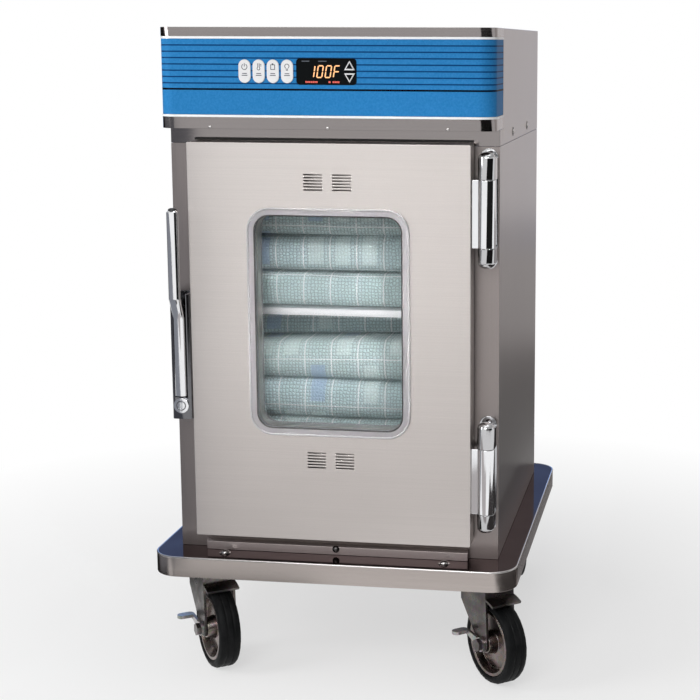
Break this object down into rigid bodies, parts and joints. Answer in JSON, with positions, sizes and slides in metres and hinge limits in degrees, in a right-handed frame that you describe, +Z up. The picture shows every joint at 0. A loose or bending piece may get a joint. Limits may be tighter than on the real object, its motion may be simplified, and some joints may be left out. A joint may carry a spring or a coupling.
{
  "type": "blanket warming cabinet",
  "caption": "Stainless steel blanket warming cabinet with a glazed hinged door, a control hood with keys and display, an inner shelf, and a wide bumper base on swivel casters.",
  "frame": {"origin": "under the middle of the box around the cabinet, on the floor", "axes": "+Z up, -Y towards the front with the door and the controls, +X towards the hinge side"},
  "size_m": [0.5846, 0.62, 0.98],
  "materials": {
    "brushed_stainless": "satin brushed",
    "polished_stainless": "polished",
    "bright_chrome": "polished",
    "zinc_steel": "zinc plated",
    "black_tyre": "matt",
    "grey_trim": "satin",
    "blue_overlay": "satin",
    "white_key": "satin",
    "display_black": "gloss",
    "clear_glass": "gloss",
    "mineral_wool": "fibrous",
    "circuit_board": "satin",
    "black_plastic": "satin"
  },
  "bodies": {
    "cabinet": {"base_pan": "polished_stainless", "base_subframe": "zinc_steel", "caster_plate_front_left": "zinc_steel", "caster_plate_front_right": "zinc_steel", "caster_plate_rear_left": "zinc_steel", "caster_plate_rear_right": "zinc_steel", "outer_casing": "brushed_stainless", "face_frame": "brushed_stainless", "inner_liner": "brushed_stainless", "insulation_wrap": "mineral_wool", "sill_strip": "brushed_stainless", "shelf": "brushed_stainless", "heater_guard": "brushed_stainless", "heater_element": "zinc_steel", "temperature_probe": "brushed_stainless", "strike_plate": "zinc_steel", "hood_shell": "brushed_stainless", "control_fascia": "blue_overlay", "display_window": "display_black", "control_board": "circuit_board", "top_cover": "brushed_stainless", "rear_cover": "brushed_stainless", "power_inlet": "black_plastic", "hinge_frame_leaf_upper": "bright_chrome", "hinge_frame_leaf_lower": "bright_chrome", "hinge_pin_upper": "zinc_steel", "hinge_pin_lower": "zinc_steel"},
    "door": {"door_outer_pan": "brushed_stainless", "door_inner_pan": "brushed_stainless", "door_gasket": "grey_trim", "window_trim": "grey_trim", "window_trim_inner": "grey_trim", "window_glass_outer": "clear_glass", "window_glass_inner": "clear_glass", "hinge_door_leaf_upper": "bright_chrome", "hinge_door_leaf_lower": "bright_chrome", "latch_housing": "bright_chrome", "latch_pin": "zinc_steel"},
    "latch_lever": {"latch_handle": "bright_chrome"},
    "lock": {"lock_cylinder": "bright_chrome"},
    "panel_key_1": {"panel_key_1": "white_key"},
    "panel_key_2": {"panel_key_2": "white_key"},
    "panel_key_3": {"panel_key_3": "white_key"},
    "panel_key_4": {"panel_key_4": "white_key"},
    "arrow_key_up": {"arrow_key_up": "white_key"},
    "arrow_key_down": {"arrow_key_down": "white_key"},
    "fork_front_left": {"caster_fork_front_left": "zinc_steel"},
    "wheel_front_left": {"caster_hub_front_left": "zinc_steel", "caster_tyre_front_left": "black_tyre"},
    "brake_front_left": {"brake_pedal_front_left": "zinc_steel"},
    "fork_front_right": {"caster_fork_front_right": "zinc_steel"},
    "wheel_front_right": {"caster_hub_front_right": "zinc_steel", "caster_tyre_front_right": "black_tyre"},
    "brake_front_right": {"brake_pedal_front_right": "zinc_steel"},
    "fork_rear_left": {"caster_fork_rear_left": "zinc_steel"},
    "wheel_rear_left": {"caster_hub_rear_left": "zinc_steel", "caster_tyre_rear_left": "black_tyre"},
    "fork_rear_right": {"caster_fork_rear_right": "zinc_steel"},
    "wheel_rear_right": {"caster_hub_rear_right": "zinc_steel", "caster_tyre_rear_right": "black_tyre"}
  },
  "joints": [
    {"name": "door_swing", "type": "hinge", "parent": "cabinet", "child": "door", "pos_m": [0.23, -0.267, 0.5205], "axis": [0, 0, 1], "range_deg": [0, 180]},
    {"name": "latch_pull", "type": "hinge", "parent": "door", "child": "latch_lever", "pos_m": [-0.224, -0.276, 0.573], "axis": [1, 0, 0], "range_deg": [0, 12], "stiffness_Nm_per_rad": 1, "springref_deg": -17.19},
    {"name": "lock_turn", "type": "hinge", "parent": "door", "child": "lock", "pos_m": [-0.224, -0.286, 0.426], "axis": [0, 1, 0], "range_deg": [0, 90]},
    {"name": "press_panel_key_1", "type": "slide", "parent": "cabinet", "child": "panel_key_1", "axis": [0, 1, 0], "range_m": [0, 0.0008], "stiffness_N_per_m": 1500, "springref_m": -0.0003},
    {"name": "press_panel_key_2", "type": "slide", "parent": "cabinet", "child": "panel_key_2", "axis": [0, 1, 0], "range_m": [0, 0.0008], "stiffness_N_per_m": 1500, "springref_m": -0.0003},
    {"name": "press_panel_key_3", "type": "slide", "parent": "cabinet", "child": "panel_key_3", "axis": [0, 1, 0], "range_m": [0, 0.0008], "stiffness_N_per_m": 1500, "springref_m": -0.0003},
    {"name": "press_panel_key_4", "type": "slide", "parent": "cabinet", "child": "panel_key_4", "axis": [0, 1, 0], "range_m": [0, 0.0008], "stiffness_N_per_m": 1500, "springref_m": -0.0003},
    {"name": "press_arrow_key_up", "type": "slide", "parent": "cabinet", "child": "arrow_key_up", "axis": [0, 1, 0], "range_m": [0, 0.0008], "stiffness_N_per_m": 1500, "springref_m": -0.0003},
    {"name": "press_arrow_key_down", "type": "slide", "parent": "cabinet", "child": "arrow_key_down", "axis": [0, 1, 0], "range_m": [0, 0.0008], "stiffness_N_per_m": 1500, "springref_m": -0.0003},
    {"name": "swivel_front_left", "type": "hinge", "parent": "cabinet", "child": "fork_front_left", "pos_m": [-0.217, -0.2, 0.14], "axis": [0, 0, 1], "continuous": true},
    {"name": "wheel_front_left", "type": "hinge", "parent": "fork_front_left", "child": "wheel_front_left", "pos_m": [-0.19466, -0.23074, 0.0631], "axis": [0.809, 0.5878, 0], "continuous": true},
    {"name": "brake_front_left", "type": "hinge", "parent": "fork_front_left", "child": "brake_front_left", "pos_m": [-0.19466, -0.23074, 0.0631], "axis": [-0.809, -0.5878, 0], "range_deg": [0, 28]},
    {"name": "swivel_front_right", "type": "hinge", "parent": "cabinet", "child": "fork_front_right", "pos_m": [0.217, -0.2, 0.14], "axis": [0, 0, 1], "continuous": true},
    {"name": "wheel_front_right", "type": "hinge", "parent": "fork_front_right", "child": "wheel_front_right", "pos_m": [0.24143, -0.22911, 0.0631], "axis": [0.766, 0.6428, 0], "continuous": true},
    {"name": "brake_front_right", "type": "hinge", "parent": "fork_front_right", "child": "brake_front_right", "pos_m": [0.24143, -0.22911, 0.0631], "axis": [-0.766, -0.6428, 0], "range_deg": [0, 28]},
    {"name": "swivel_rear_left", "type": "hinge", "parent": "cabinet", "child": "fork_rear_left", "pos_m": [-0.217, 0.21, 0.14], "axis": [0, 0, 1], "continuous": true},
    {"name": "wheel_rear_left", "type": "hinge", "parent": "fork_rear_left", "child": "wheel_rear_left", "pos_m": [-0.24143, 0.23911, 0.0631], "axis": [-0.766, -0.6428, 0], "continuous": true},
    {"name": "swivel_rear_right", "type": "hinge", "parent": "cabinet", "child": "fork_rear_right", "pos_m": [0.217, 0.21, 0.14], "axis": [0, 0, 1], "continuous": true},
    {"name": "wheel_rear_right", "type": "hinge", "parent": "fork_rear_right", "child": "wheel_rear_right", "pos_m": [0.20526, 0.24614, 0.0631], "axis": [-0.9511, -0.309, 0], "continuous": true}
  ]
}
